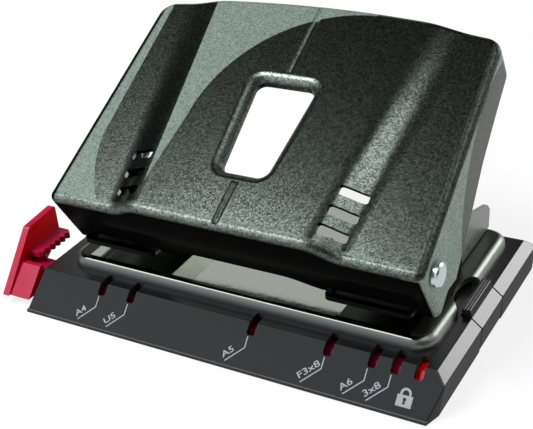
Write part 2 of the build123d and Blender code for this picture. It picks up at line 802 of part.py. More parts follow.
with BuildPart() as lever:
    add(lever_outer.part)
    # Collar that turns down round the window is left standing inside
    add(lever_inner.part, mode=Mode.SUBTRACT)
    with BuildSketch(plateau_plane.offset(-panel_sheet / 2)):
        Polygon(
            (-window_half_front - window_collar, window_front - window_collar),
            (window_half_front + window_collar, window_front - window_collar),
            (window_half_back + window_collar, window_back + window_collar),
            (-window_half_back - window_collar, window_back + window_collar),
            align=None,
        )
        fillet(vertices(), window_corner + window_collar)
    extrude(amount=-panel_sheet / 2 - window_collar_drop)
    with BuildSketch(plateau_plane):
        Polygon(
            (-window_half_front, window_front),
            (window_half_front, window_front),
            (window_half_back, window_back),
            (-window_half_back, window_back),
            align=None,
        )
        fillet(vertices(), window_corner)
    extrude(amount=panel_sheet + 2 * window_collar_drop, both=True, mode=Mode.SUBTRACT)
    rim_edges = lever.edges().filter_by(lambda e: window_rim(e.center()))
    fillet(rim_edges, window_rim_round)
    # Side profile: skirt, flanges and rear edge are trimmed to it
    with BuildSketch(side_plane):
        with BuildLine():
            Polyline(
                (-past_all, past_all),
                (-past_all, -skirt_drop),
                *[(along, -drop) for along, drop in flange_profile],
                (past_all, -flange_profile[-1][1]),
                (past_all, past_all),
                close=True,
            )
        make_face()
    extrude(amount=past_all, both=True, mode=Mode.INTERSECT)
    # Three slots in each ramp
    with BuildSketch(slope_plane):
        with Locations(*[(side * sum(ramp_sides(s)) / 2, s) for side in (-1, 1) for s in slot_alongs]):
            RectangleRounded(slot_length, slot_width, slot_corner)
    extrude(amount=plateau_front_rise + panel_edge_round, both=True, mode=Mode.SUBTRACT)
    # Grooves from the window to the front and to the rear
    groove_z = groove_radius - groove_depth
    groove_front = plateau_plane.from_local_coords((0, groove_front_start, groove_z))
    groove_rear = plateau_plane.from_local_coords((0, groove_rear_start, groove_z))
    with Locations(groove_front):
        Sphere(groove_radius, mode=Mode.SUBTRACT)
    with BuildSketch(Plane(groove_front, (1, 0, 0), plateau_plane.y_dir)):
        Circle(groove_radius)
    extrude(amount=groove_front_end - groove_front_start, mode=Mode.SUBTRACT)
    with BuildSketch(Plane(groove_rear, (1, 0, 0), plateau_plane.y_dir)):
        Circle(groove_radius)
    extrude(amount=panel_mid_length - groove_rear_start, mode=Mode.SUBTRACT)
    # Bearing holes for the pivot pins
    with BuildSketch(Plane.YZ):
        with Locations((pivot_y, pivot_z)):
            Circle(pivot_journal_radius + running_gap)
    extrude(amount=past_all, both=True, mode=Mode.SUBTRACT)
lever.part.label = "lever"
export_step(lever.part, "parts/lever.step")

# Pressers: folded straps welded under the lever, each with a nose over a punch
nose_z = punch_top_z + presser_gap + nose_radius
nose_along = (nose_y - panel_front_y) * along_y + (nose_z - panel_front_z) * along_z
nose_drop = (nose_y - panel_front_y) * drop_y + (nose_z - panel_front_z) * drop_z
strap_under = panel_sheet + presser_sheet
with BuildPart() as presser_right:
    with BuildSketch(side_plane.offset(punch_x - presser_half_width)):
        Polygon(
            (nose_along - presser_foot, -panel_sheet),
            (nose_along + presser_foot, -panel_sheet),
            (nose_along + presser_foot, -strap_under),
            (nose_along + presser_bend, -strap_under),
            (nose_along + nose_radius, -nose_drop),
            (nose_along - nose_radius, -nose_drop),
            (nose_along - presser_bend, -strap_under),
            (nose_along - presser_foot, -strap_under),
            align=None,
        )
        with Locations((nose_along, -nose_drop)):
            Circle(nose_radius)
        Polygon(
            (nose_along - 2.1, -panel_sheet),
            (nose_along + 2.1, -panel_sheet),
            (nose_along + 0.5, -nose_drop + 0.4),
            (nose_along - 0.5, -nose_drop + 0.4),
            align=None,
            mode=Mode.SUBTRACT,
        )
    extrude(amount=2 * presser_half_width)
presser_right.part.label = "presser right"
export_step(presser_right.part, "parts/presser_right.step")

with BuildPart() as presser_left:
    add(mirror(presser_right.part, about=Plane.YZ))
presser_left.part.label = "presser left"
export_step(presser_left.part, "parts/presser_left.step")

# Pivot pins: riveted into the frames' ears, with a collar and an outer head
ear_outer_x = frame_outer_x
ear_inner_x = frame_outer_x - frame_sheet
flange_outer_x = panel_half_width(pivot_along)
pin_head_x = flange_outer_x + sliding_gap + 0.1
with BuildPart() as pivot_pin_right:
    with BuildSketch(Plane(origin=(0, pivot_y, pivot_z), x_dir=(1, 0, 0), z_dir=(0, -1, 0))):
        Polygon(
            (ear_inner_x - pivot_peen_length, 0),
            (ear_inner_x - pivot_peen_length, pivot_shank_radius),
            (ear_inner_x, pivot_peen_radius),
            (ear_inner_x, pivot_shank_radius),
            (ear_outer_x, pivot_shank_radius),
            (ear_outer_x, pivot_collar_radius),
            (ear_outer_x + pivot_collar_length, pivot_collar_radius),
            (ear_outer_x + pivot_collar_length, pivot_journal_radius),
            (pin_head_x, pivot_journal_radius),
            (pin_head_x, pivot_head_radius),
            (pin_head_x + pivot_head_length - pivot_head_bevel, pivot_head_radius),
            (pin_head_x + pivot_head_length, pivot_head_radius - pivot_head_bevel),
            (pin_head_x + pivot_head_length, 0),
            align=None,
        )
    revolve(axis=Axis((0, pivot_y, pivot_z), (1, 0, 0)))
pivot_pin_right.part.label = "pivot pin right"
export_step(pivot_pin_right.part, "parts/pivot_pin_right.step")

with BuildPart() as pivot_pin_left:
    add(mirror(pivot_pin_right.part, about=Plane.YZ))
pivot_pin_left.part.label = "pivot pin left"
export_step(pivot_pin_left.part, "parts/pivot_pin_left.step")

# Paper guide: bar in the base, block and upright stop fin at its left end
stop_x = -lock_distance


def bar_outline(sink):
    top_z = bar_top_z - sink
    shift = (skin + sliding_gap + sink) * math.sqrt(2)
    return [
        (front_slope_y(top_z) + shift, top_z),
        (front_slope_y(bar_bottom_z) + shift, bar_bottom_z),
        (bar_back_y, bar_bottom_z),
        (bar_back_y, top_z),
    ]


bar_top_z = deck_under_z - sliding_gap
block_outline = [
    (deck_front_y, deck_z),
    (front_slope_y(guide_bottom_z), guide_bottom_z),
    (bar_back_y, guide_bottom_z),
    (bar_back_y, bar_top_z),
    (deck_front_y + block_top_run, bar_top_z),
    (deck_front_y + block_top_run, deck_z),
]
fin_outline = [
    (front_slope_y(guide_bottom_z) - fin_toe, guide_bottom_z),
    (fin_top_front_y, fin_top_front_z),
    (fin_rear_y, fin_top_rear_z),
    (fin_rear_y, ledge_top_z - ledge_thickness),
    (bar_back_y, guide_bottom_z),
]
ledge_mid_x = stop_x + (ledge_width - ledge_root) / 2
ledge_mid_y = (ledge_front_y + fin_rear_y) / 2
ledge_length = fin_rear_y - ledge_front_y
rib_step = (ledge_length - 2 * ledge_rib_inset) / (ledge_rib_count - 1)
rib_ys = [ledge_front_y + ledge_rib_inset + n * rib_step for n in range(ledge_rib_count)]
with BuildPart() as paper_guide:
    with BuildSketch(Plane.YZ.offset(stop_x - fin_thickness)):
        Polygon(*fin_outline, align=None)
    extrude(amount=fin_thickness)
    top_edges = paper_guide.edges().filter_by(Axis.X).sort_by(Axis.Z)[-2:]
    fillet(top_edges.sort_by(Axis.Y)[0], fin_front_round)
    fillet(paper_guide.edges().filter_by(Axis.X).sort_by(Axis.Z)[-1], fin_rear_round)
    fillet(paper_guide.faces().sort_by(Axis.X)[0].edges(), fin_edge_round)
    with BuildSketch(Plane.YZ.offset(stop_x - fin_thickness / 2)):
        Polygon(*block_outline, align=None)
    extrude(amount=block_right_x - stop_x + fin_thickness / 2)
    with BuildSketch(Plane.YZ.offset(block_right_x)):
        Polygon(*bar_outline(pointer_rise), align=None)
    extrude(amount=bar_right_x - block_right_x)
    # Raised pointer that shows in the window of the format in use
    with BuildSketch(Plane.YZ.offset(pointer_x - pointer_half_width)):
        Polygon(*bar_outline(0), align=None)
    extrude(amount=bar_right_x - pointer_x + pointer_half_width)
    # Finger ledge behind the block, its edge ribbed
    with BuildSketch(Plane.XY.offset(ledge_top_z - ledge_thickness)):
        with Locations((ledge_mid_x, ledge_mid_y)):
            RectangleRounded(ledge_width + ledge_root, ledge_length, ledge_corner)
        with Locations(*[(stop_x + ledge_width, y) for y in rib_ys]):
            Circle(ledge_rib_radius)
    extrude(amount=ledge_thickness)
paper_guide.part.label = "paper guide"
export_step(paper_guide.part, "parts/paper_guide.step")
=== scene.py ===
import math

import bpy
from mathutils import Matrix, Vector


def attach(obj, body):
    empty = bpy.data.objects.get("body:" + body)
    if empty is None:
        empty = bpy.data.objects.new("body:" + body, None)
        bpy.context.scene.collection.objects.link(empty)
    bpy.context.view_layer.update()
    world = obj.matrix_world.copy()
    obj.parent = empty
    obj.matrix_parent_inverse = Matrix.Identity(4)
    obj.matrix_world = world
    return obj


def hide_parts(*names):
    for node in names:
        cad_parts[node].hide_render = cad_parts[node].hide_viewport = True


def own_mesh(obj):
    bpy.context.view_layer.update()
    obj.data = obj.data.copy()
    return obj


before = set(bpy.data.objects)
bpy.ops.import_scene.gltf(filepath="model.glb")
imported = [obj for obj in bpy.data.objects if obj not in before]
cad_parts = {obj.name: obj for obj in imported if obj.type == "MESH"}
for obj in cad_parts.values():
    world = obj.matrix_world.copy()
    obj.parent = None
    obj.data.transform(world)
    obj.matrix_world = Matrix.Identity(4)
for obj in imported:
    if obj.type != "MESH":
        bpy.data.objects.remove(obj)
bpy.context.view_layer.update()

# Base shell, base floor and chip door
# Injection-moulded ABS, coloured right through. The shell is one piece, the floor is screwed
# into it from below, and the door is a piece of the right-hand rail on a hinge pin.
mm = 0.001


def linear(colour):
    parts = [int(colour[i : i + 2], 16) / 255 for i in (1, 3, 5)]
    return [c / 12.92 if c <= 0.04045 else ((c + 0.055) / 1.055) ** 2.4 for c in parts] + [1.0]


def start_material(name):
    material = bpy.data.materials.new(name)
    material.use_nodes = True
    material.node_tree.nodes.clear()
    return material, material.node_tree


def add_node(tree, kind, inputs=None, **settings):
    node = tree.nodes.new(kind)
    for name, value in settings.items():
        setattr(node, name, value)
    for socket, value in (inputs or {}).items():
        if isinstance(value, bpy.types.NodeSocket):
            tree.links.new(value, node.inputs[socket])
        else:
            node.inputs[socket].default_value = value
    return node


def dress(material, *names):
    for name in names:
        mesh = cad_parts[name].data
        mesh.materials.clear()
        mesh.materials.append(material)


# Charcoal ABS: the front slope comes from a spark-eroded mould face and is matt and greyer, the
# deck, rails and door from a polished one, so they are black and mirror what stands on them.
grain_size = 0.35 * mm
cloud_size = 16 * mm
shadow_foot_height = 0.9 * mm
highlight_ledge_height = 1.1 * mm
level_normal = 0.9
slope_roughness = 0.82
charcoal_abs, tree = start_material("moulded_charcoal_abs")
place = add_node(tree, "ShaderNodeTexCoord")
grain = add_node(tree, "ShaderNodeTexNoise", {
    "Vector": place.outputs["Object"], "Scale": 1 / grain_size, "Detail": 2.0, "Roughness": 0.6,
})
cloud = add_node(tree, "ShaderNodeTexNoise", {
    "Vector": place.outputs["Object"], "Scale": 1 / cloud_size, "Detail": 3.0,
})
facing = add_node(tree, "ShaderNodeVectorMath", {
    0: place.outputs["Normal"], 1: (0, -math.sqrt(0.5), math.sqrt(0.5)),
}, operation="DOT_PRODUCT")
grained = add_node(tree, "ShaderNodeMapRange", {
    "Value": facing.outputs["Value"], "From Min": 0.9, "From Max": 0.97,
})
matt_tone = add_node(tree, "ShaderNodeMix", {
    0: cloud.outputs["Fac"], 6: linear("#0b1115"), 7: linear("#12191e"),
}, data_type="RGBA")
polished_tone = add_node(tree, "ShaderNodeMix", {
    0: cloud.outputs["Fac"], 6: linear("#121213"), 7: linear("#18181a"),
}, data_type="RGBA")
tone = add_node(tree, "ShaderNodeMix", {
    0: grained.outputs[0], 6: polished_tone.outputs[2], 7: matt_tone.outputs[2],
}, data_type="RGBA")
# Painted shade: the foot below the slope is painted black as the shadow gap under the base
spot = add_node(tree, "ShaderNodeSeparateXYZ", {0: place.outputs["Object"]})
foot = add_node(tree, "ShaderNodeMath", {0: spot.outputs["Z"], 1: shadow_foot_height}, operation="LESS_THAN")
tone = add_node(tree, "ShaderNodeMix", {
    0: foot.outputs[0], 6: tone.outputs[2], 7: linear("#040404"),
}, data_type="RGBA")
# Painted highlight: the narrow ledge above the foot is painted pale, as the light caught along that edge
upward = add_node(tree, "ShaderNodeSeparateXYZ", {0: place.outputs["Normal"]})
level = add_node(tree, "ShaderNodeMath", {0: upward.outputs["Z"], 1: level_normal}, operation="GREATER_THAN")
low = add_node(tree, "ShaderNodeMath", {0: spot.outputs["Z"], 1: highlight_ledge_height}, operation="LESS_THAN")
painted_highlight_ledge = add_node(tree, "ShaderNodeMath", {0: level.outputs[0], 1: low.outputs[0]}, operation="MULTIPLY")
tone = add_node(tree, "ShaderNodeMix", {
    0: painted_highlight_ledge.outputs[0], 6: tone.outputs[2], 7: linear("#5e6365"),
}, data_type="RGBA")
speckle = add_node(tree, "ShaderNodeMapRange", {
    "Value": grain.outputs["Fac"], "From Min": 0.3, "From Max": 0.7, "To Min": 0.8, "To Max": 1.2,
})
speckled = add_node(tree, "ShaderNodeVectorMath", {
    0: tone.outputs[2], "Scale": speckle.outputs[0],
}, operation="SCALE")
polish = add_node(tree, "ShaderNodeMapRange", {
    "Value": upward.outputs["Z"], "From Min": 0.2, "From Max": 0.6, "To Min": 0.75, "To Max": 0.2,
})
deck = add_node(tree, "ShaderNodeMapRange", {
    "Value": upward.outputs["Z"], "From Min": 0.85, "From Max": 0.97, "To Min": 0.0, "To Max": 0.26,
})
polish = add_node(tree, "ShaderNodeMath", {0: polish.outputs[0], 1: deck.outputs[0]}, operation="MAXIMUM")
gloss = add_node(tree, "ShaderNodeMix", {0: grained.outputs[0], 2: polish.outputs[0], 3: slope_roughness})
relief = add_node(tree, "ShaderNodeMath", {
    0: grain.outputs["Fac"], 1: grained.outputs[0],
}, operation="MULTIPLY")
bump = add_node(tree, "ShaderNodeBump", {
    "Height": relief.outputs[0], "Strength": 0.35, "Distance": 0.03 * mm,
})
shader = add_node(tree, "ShaderNodeBsdfPrincipled", {
    "Base Color": speckled.outputs[0],
    "Roughness": gloss.outputs[0],
    "IOR": 1.54,
    "Specular IOR Level": 0.5,
    "Normal": bump.outputs[0],
})
add_node(tree, "ShaderNodeOutputMaterial", {"Surface": shader.outputs[0]})
dress(charcoal_abs, "base_shell", "base_floor", "chip_door")

# Format marks
# Pad-printed pale ink on the sloped front: a leader line from each window to the name of a paper
# format, and a padlock below the window where the guide is pushed home.
deck_edge_y = -24.5
deck_edge_z = 8.8
ink_thickness = 0.015
ink_lift = 0.01
line_width = 0.26
leader_top = 3.45
leader_bend = 6.2
leader_run = 4.1
sharpest_miter = 0.3
letter_size = 2.1
letter_weight = 0.02
label_offset = 0.56
label_angle = 45
marks = {
    "A4": (-36.1, 3.3),
    "US": (-27.25, 3.4),
    "A5": (7.4, 3.3),
    "F3x8": (27.4, 5.9),
    "A6": (38.0, 3.4),
    "3x8": (43.7, 4.4),
}
padlock_x = 48.1
padlock_top = 6.9
padlock_bottom = 9.5
padlock_half = 1.8
shackle_outer = 1.3
shackle_inner = 0.75
shackle_centre = 6.55
keyhole_radius = 0.42
keyhole_centre = 7.85
keyhole_foot = 8.9
keyhole_foot_half = 0.8 * keyhole_radius
keyhole_sides = (-60, 240)
shackle_overlap = 0.01

slope_half = math.sqrt(0.5)
front_slope = Matrix((
    (1, 0, 0, 0),
    (0, slope_half, -slope_half, deck_edge_y),
    (0, slope_half, slope_half, deck_edge_z),
    (0, 0, 0, 1),
))


def stroke(points, width):
    left, right = [], []
    for n, point in enumerate(points):
        before = (point - points[n - 1]).normalized() if n else (points[1] - point).normalized()
        after = (points[n + 1] - point).normalized() if n + 1 < len(points) else before
        way = (before + after).normalized()
        side = Vector((-way.y, way.x)) * (width / 2 / max(way.dot(before), sharpest_miter))
        left.append(point + side)
        right.append(point - side)
    return left + right[::-1]


def arc(centre_x, centre_y, radius, start, end, steps=16):
    angles = [math.radians(start + (end - start) * n / steps) for n in range(steps + 1)]
    return [Vector((centre_x + radius * math.cos(a), centre_y + radius * math.sin(a))) for a in angles]


def inked(data, matrix):
    data.extrude = ink_thickness / 2
    print_object = bpy.data.objects.new("ink", data)
    mesh = bpy.data.meshes.new_from_object(print_object)
    mesh.transform(matrix)
    bpy.data.objects.remove(print_object)
    return mesh


def inked_outlines(outlines):
    data = bpy.data.curves.new("outline", "CURVE")
    data.dimensions = "2D"
    data.fill_mode = "BOTH"
    for outline in outlines:
        spline = data.splines.new("POLY")
        spline.points.add(len(outline) - 1)
        for point, place_on in zip(spline.points, outline):
            point.co = (place_on.x, place_on.y, 0, 1)
        spline.use_cyclic_u = True
    return inked(data, Matrix())


ink_meshes = []
for label, (leader_x, label_length) in marks.items():
    bend = Vector((leader_x, -leader_bend))
    foot = bend - Vector((leader_run, leader_run))
    ink_meshes.append(inked_outlines([stroke([Vector((leader_x, -leader_top)), bend, foot], line_width)]))
    letters = bpy.data.curves.new(label, "FONT")
    letters.body = label
    letters.size = letter_size
    letters.offset = letter_weight
    flat = bpy.data.objects.new("letters", letters)
    bpy.context.scene.collection.objects.link(flat)
    bpy.context.view_layer.update()
    stretch = label_length / flat.dimensions.x
    bpy.data.objects.remove(flat)
    start = foot + Vector((-label_offset, label_offset))
    turn = Matrix.Translation((start.x, start.y, 0)) @ Matrix.Rotation(math.radians(label_angle), 4, "Z")
    ink_meshes.append(inked(letters, turn @ Matrix.Diagonal((stretch, 1, 1, 1))))
body = [
    Vector((padlock_x - padlock_half, -padlock_bottom)),
    Vector((padlock_x + padlock_half, -padlock_bottom)),
    Vector((padlock_x + padlock_half, -padlock_top)),
    Vector((padlock_x - padlock_half, -padlock_top)),
]
keyhole = arc(padlock_x, -keyhole_centre, keyhole_radius, *keyhole_sides) + [
    Vector((padlock_x - keyhole_foot_half, -keyhole_foot)),
    Vector((padlock_x + keyhole_foot_half, -keyhole_foot)),
]
shackle_foot = -padlock_top + shackle_overlap
shackle = (
    [Vector((padlock_x + shackle_outer, shackle_foot))]
    + arc(padlock_x, -shackle_centre, shackle_outer, 0, 180)
    + [Vector((padlock_x - shackle_outer, shackle_foot))]
    + [Vector((padlock_x - shackle_inner, shackle_foot))]
    + arc(padlock_x, -shackle_centre, shackle_inner, 180, 0)
    + [Vector((padlock_x + shackle_inner, shackle_foot))]
)
ink_meshes += [inked_outlines([body, keyhole]), inked_outlines([shackle])]

ink_vertices, ink_faces = [], []
for mesh in ink_meshes:
    first = len(ink_vertices)
    ink_vertices += [v.co.copy() for v in mesh.vertices]
    ink_faces += [[first + i for i in face.vertices] for face in mesh.polygons]
lift = Matrix.Translation((0, 0, ink_lift + ink_thickness / 2))
printed = bpy.data.meshes.new("format_marks")
printed.from_pydata([Matrix.Scale(mm, 4) @ front_slope @ lift @ v for v in ink_vertices], [], ink_faces)
format_marks = bpy.data.objects.new("format_marks", printed)
bpy.context.scene.collection.objects.link(format_marks)
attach(format_marks, "base")

# Pad-printing ink is matt and thin, so the mould grain makes it slightly uneven.
ink, tree = start_material("pale_pad_print_ink")
place = add_node(tree, "ShaderNodeTexCoord")
grain = add_node(tree, "ShaderNodeTexNoise", {
    "Vector": place.outputs["Object"], "Scale": 1 / grain_size, "Detail": 2.0,
})
tone = add_node(tree, "ShaderNodeMix", {
    0: grain.outputs["Fac"], 6: linear("#7d868b"), 7: linear("#a9b2b7"),
}, data_type="RGBA")
shader = add_node(tree, "ShaderNodeBsdfPrincipled", {"Base Color": tone.outputs[2], "Roughness": 0.6})
add_node(tree, "ShaderNodeOutputMaterial", {"Surface": shader.outputs[0]})
printed.materials.append(ink)

# Non-slip mat
# A die-cut sheet of black rubber glued under the floor, with a raised grid of small studs
# that keeps the punch from sliding on a desk.
stud_pitch = 2.4 * mm
rubber, tree = start_material("studded_black_rubber")
place = add_node(tree, "ShaderNodeTexCoord")
studs = add_node(tree, "ShaderNodeTexVoronoi", {
    "Vector": place.outputs["Object"], "Scale": 1 / stud_pitch, "Randomness": 0.0,
})
dust = add_node(tree, "ShaderNodeTexNoise", {"Vector": place.outputs["Object"], "Scale": 1 / grain_size})
tone = add_node(tree, "ShaderNodeMix", {
    0: dust.outputs["Fac"], 6: linear("#17181a"), 7: linear("#262729"),
}, data_type="RGBA")
stud_height = add_node(tree, "ShaderNodeMapRange", {
    "Value": studs.outputs["Distance"], "From Min": 0.25, "From Max": 0.4, "To Min": 1.0, "To Max": 0.0,
})
bump = add_node(tree, "ShaderNodeBump", {
    "Height": stud_height.outputs[0], "Strength": 0.8, "Distance": 0.2 * mm,
})
shader = add_node(tree, "ShaderNodeBsdfPrincipled", {
    "Base Color": tone.outputs[2], "Roughness": 0.8, "IOR": 1.52, "Normal": bump.outputs[0],
})
add_node(tree, "ShaderNodeOutputMaterial", {"Surface": shader.outputs[0]})
dress(rubber, "non_slip_mat")

# Bed plate
# A shallow pan pressed from steel sheet and nickel plated, with the two die holes punched
# through it. The plating is bright, over the faint orange peel of the pressed sheet.
peel_size = 2.2 * mm
fleck_size = 0.3 * mm
shaded_foot_z = 11.14 * mm
shaded_foot_fade = 0.1 * mm
foot_roughness = 0.55
shaded_margin_x = 44.6 * mm
shaded_margin_fade = 0.2 * mm
satin_roughness = 0.4
nickel, tree = start_material("bright_nickel_plate")
place = add_node(tree, "ShaderNodeTexCoord")
peel = add_node(tree, "ShaderNodeTexNoise", {
    "Vector": place.outputs["Object"], "Scale": 1 / peel_size, "Detail": 3.0,
})
fleck = add_node(tree, "ShaderNodeTexNoise", {
    "Vector": place.outputs["Object"], "Scale": 1 / fleck_size, "Detail": 2.0,
})
tone = add_node(tree, "ShaderNodeMix", {
    0: fleck.outputs["Fac"], 6: linear("#a2a99e"), 7: linear("#bdc4b9"),
}, data_type="RGBA")
sheen = add_node(tree, "ShaderNodeMapRange", {
    "Value": fleck.outputs["Fac"], "From Min": 0.3, "From Max": 0.7, "To Min": 0.04, "To Max": 0.08,
})
# Painted shade: the rolled front edge is painted darker to dim its reflection, and its foot is painted a
# duller satin grey that cuts off the lower part of the highlight
spot = add_node(tree, "ShaderNodeSeparateXYZ", {0: place.outputs["Object"]})
lean = add_node(tree, "ShaderNodeSeparateXYZ", {0: place.outputs["Normal"]})
front_roll = add_node(tree, "ShaderNodeMapRange", {
    "Value": lean.outputs["Y"], "From Min": -0.4, "From Max": -0.2, "To Min": 1.0, "To Max": 0.0,
})
tone = add_node(tree, "ShaderNodeMix", {
    0: front_roll.outputs[0], 6: tone.outputs[2], 7: linear("#4a4a43"),
}, data_type="RGBA")
foot = add_node(tree, "ShaderNodeMapRange", {
    "Value": spot.outputs["Z"],
    "From Min": shaded_foot_z - shaded_foot_fade, "From Max": shaded_foot_z, "To Min": 1.0, "To Max": 0.0,
})
tone = add_node(tree, "ShaderNodeMix", {
    0: foot.outputs[0], 6: tone.outputs[2], 7: linear("#565c5b"),
}, data_type="RGBA")
sheen = add_node(tree, "ShaderNodeMix", {0: foot.outputs[0], 2: sheen.outputs[0], 3: foot_roughness})
# Painted shade: the flat margins outside the frames are painted darker as if in shade, and the rolled ends
# darker to dim their highlight; both are satin
off_middle = add_node(tree, "ShaderNodeMath", {0: spot.outputs["X"]}, operation="ABSOLUTE")
shaded_margin = add_node(tree, "ShaderNodeMapRange", {
    "Value": off_middle.outputs[0], "From Min": shaded_margin_x - shaded_margin_fade, "From Max": shaded_margin_x + shaded_margin_fade,
})
flat = add_node(tree, "ShaderNodeMapRange", {
    "Value": lean.outputs["Z"], "From Min": 0.95, "From Max": 0.99,
})
shaded_margin = add_node(tree, "ShaderNodeMath", {0: shaded_margin.outputs[0], 1: flat.outputs[0]}, operation="MULTIPLY")
tone = add_node(tree, "ShaderNodeMix", {
    0: shaded_margin.outputs[0], 6: tone.outputs[2], 7: linear("#4b4f4b"),
}, data_type="RGBA")
sideways = add_node(tree, "ShaderNodeMath", {0: lean.outputs["X"]}, operation="ABSOLUTE")
shaded_end_roll = add_node(tree, "ShaderNodeMapRange", {
    "Value": sideways.outputs[0], "From Min": 0.05, "From Max": 0.35,
})
tone = add_node(tree, "ShaderNodeMix", {
    0: shaded_end_roll.outputs[0], 6: tone.outputs[2], 7: linear("#81887f"),
}, data_type="RGBA")
satin = add_node(tree, "ShaderNodeMath", {0: shaded_margin.outputs[0], 1: shaded_end_roll.outputs[0]}, operation="MAXIMUM")
sheen = add_node(tree, "ShaderNodeMix", {0: satin.outputs[0], 2: sheen.outputs[0], 3: satin_roughness})
bump = add_node(tree, "ShaderNodeBump", {
    "Height": peel.outputs["Fac"], "Strength": 0.12, "Distance": 0.05 * mm,
})
shader = add_node(tree, "ShaderNodeBsdfPrincipled", {
    "Base Color": tone.outputs[2], "Metallic": 1.0, "Roughness": sheen.outputs[0], "Normal": bump.outputs[0],
})
add_node(tree, "ShaderNodeOutputMaterial", {"Surface": shader.outputs[0]})
dress(nickel, "bed_plate")

# Punch frames, upper guides and pressers
# Folded from cold-rolled steel sheet and nickel plated. The plating is satin, with the sheet's
# rolling lines left in it along the length of the strip.
rolling_pitch = 0.25 * mm
lip_end_y = -12 * mm
lip_fade = 1 * mm
lip_top_z = 18.5 * mm
plated_sheet, tree = start_material("nickel_plated_sheet_steel")
place = add_node(tree, "ShaderNodeTexCoord")
drawn = add_node(tree, "ShaderNodeMapping", {"Vector": place.outputs["Object"], "Scale": (1, 0.05, 1)})
rolled = add_node(tree, "ShaderNodeTexNoise", {
    "Vector": drawn.outputs[0], "Scale": 1 / rolling_pitch, "Detail": 2.0,
})
tone = add_node(tree, "ShaderNodeMix", {
    0: rolled.outputs["Fac"], 6: linear("#5f625d"), 7: linear("#868983"),
}, data_type="RGBA")
# Painted shade: the frames' front lips, which show under the lever, are painted black as if in its shadow
spot = add_node(tree, "ShaderNodeSeparateXYZ", {0: place.outputs["Object"]})
lip = add_node(tree, "ShaderNodeMapRange", {
    "Value": spot.outputs["Y"],
    "From Min": lip_end_y - lip_fade, "From Max": lip_end_y, "To Min": 1.0, "To Max": 0.0,
})
low = add_node(tree, "ShaderNodeMath", {0: spot.outputs["Z"], 1: lip_top_z}, operation="LESS_THAN")
painted_shade_lip = add_node(tree, "ShaderNodeMath", {0: lip.outputs[0], 1: low.outputs[0]}, operation="MULTIPLY")
tone = add_node(tree, "ShaderNodeMix", {
    0: painted_shade_lip.outputs[0], 6: tone.outputs[2], 7: linear("#0d0d0d"),
}, data_type="RGBA")
sheen = add_node(tree, "ShaderNodeMapRange", {
    "Value": rolled.outputs["Fac"], "From Min": 0.3, "From Max": 0.7, "To Min": 0.24, "To Max": 0.38,
})
bump = add_node(tree, "ShaderNodeBump", {
    "Height": rolled.outputs["Fac"], "Strength": 0.1, "Distance": 0.02 * mm,
})
shader = add_node(tree, "ShaderNodeBsdfPrincipled", {
    "Base Color": tone.outputs[2], "Metallic": 1.0, "Roughness": sheen.outputs[0], "Normal": bump.outputs[0],
})
add_node(tree, "ShaderNodeOutputMaterial", {"Surface": shader.outputs[0]})
dress(plated_sheet, "punch_frame_left", "punch_frame_right", "upper_guide_left", "upper_guide_right")
dress(plated_sheet, "presser_left", "presser_right")

# Punches, springs, clips and small fasteners
# Ground tool-steel punches, drawn spring wire and stamped clips; the rivets, screws and hinge
# pin are zinc-plated steel. All show fine turning or drawing lines around their axes.
turning_pitch = 0.2 * mm
turned_steels = {
    "ground_tool_steel": ("#8d8f92", "#b4b6b8", 0.18, ("punch_left", "punch_right")),
    "drawn_spring_wire": ("#5d6063", "#86898b", 0.3, (
        "return_spring_left", "return_spring_right", "spring_clip_left", "spring_clip_right",
    )),
    "zinc_plated_fasteners": ("#9a9c99", "#bfc1bd", 0.26, ("frame_rivets", "base_screws", "door_hinge_pin")),
}
for steel_name, (dark, pale, roughness, piece_names) in turned_steels.items():
    steel, tree = start_material(steel_name)
    place = add_node(tree, "ShaderNodeTexCoord")
    lines = add_node(tree, "ShaderNodeMapping", {"Vector": place.outputs["Object"], "Scale": (0.1, 0.1, 1)})
    turned = add_node(tree, "ShaderNodeTexNoise", {
        "Vector": lines.outputs[0], "Scale": 1 / turning_pitch, "Detail": 2.0,
    })
    tone = add_node(tree, "ShaderNodeMix", {
        0: turned.outputs["Fac"], 6: linear(dark), 7: linear(pale),
    }, data_type="RGBA")
    sheen = add_node(tree, "ShaderNodeMapRange", {
        "Value": turned.outputs["Fac"], "To Min": roughness - 0.08, "To Max": roughness + 0.08,
    })
    shader = add_node(tree, "ShaderNodeBsdfPrincipled", {
        "Base Color": tone.outputs[2], "Metallic": 1.0, "Roughness": sheen.outputs[0],
    })
    add_node(tree, "ShaderNodeOutputMaterial", {"Surface": shader.outputs[0]})
    dress(steel, *piece_names)

# Return springs
# Open coils of spring wire round the punches, standing on the guide plates and fixed at the foot only.
# In the real punch they close up as the lever comes down; here each coil is a copy of the CAD spring
# with a mesh of its own, carried with the base.
for side in ("left", "right"):
    spring_name = f"return_spring_{side}"
    coil = bpy.data.objects.new(f"spring_coil_{side}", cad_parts[spring_name].data.copy())
    bpy.context.scene.collection.objects.link(coil)
    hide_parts(spring_name)
    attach(coil, "base")
    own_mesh(coil)

# Pivot pins
# Turned steel pins riveted into the frames' ears, nickel plated, with a domed pale head
# outside each flange of the lever.
pin_nickel, tree = start_material("satin_nickel_pin")
place = add_node(tree, "ShaderNodeTexCoord")
facing_lines = add_node(tree, "ShaderNodeTexNoise", {
    "Vector": place.outputs["Object"], "Scale": 1 / turning_pitch, "Detail": 2.0,
})
tone = add_node(tree, "ShaderNodeMix", {
    0: facing_lines.outputs["Fac"], 6: linear("#aebdbd"), 7: linear("#cbd9d8"),
}, data_type="RGBA")
sheen = add_node(tree, "ShaderNodeMapRange", {
    "Value": facing_lines.outputs["Fac"], "To Min": 0.22, "To Max": 0.36,
})
shader = add_node(tree, "ShaderNodeBsdfPrincipled", {
    "Base Color": tone.outputs[2], "Metallic": 1.0, "Roughness": sheen.outputs[0],
})
add_node(tree, "ShaderNodeOutputMaterial", {"Surface": shader.outputs[0]})
dress(pin_nickel, "pivot_pin_left", "pivot_pin_right")
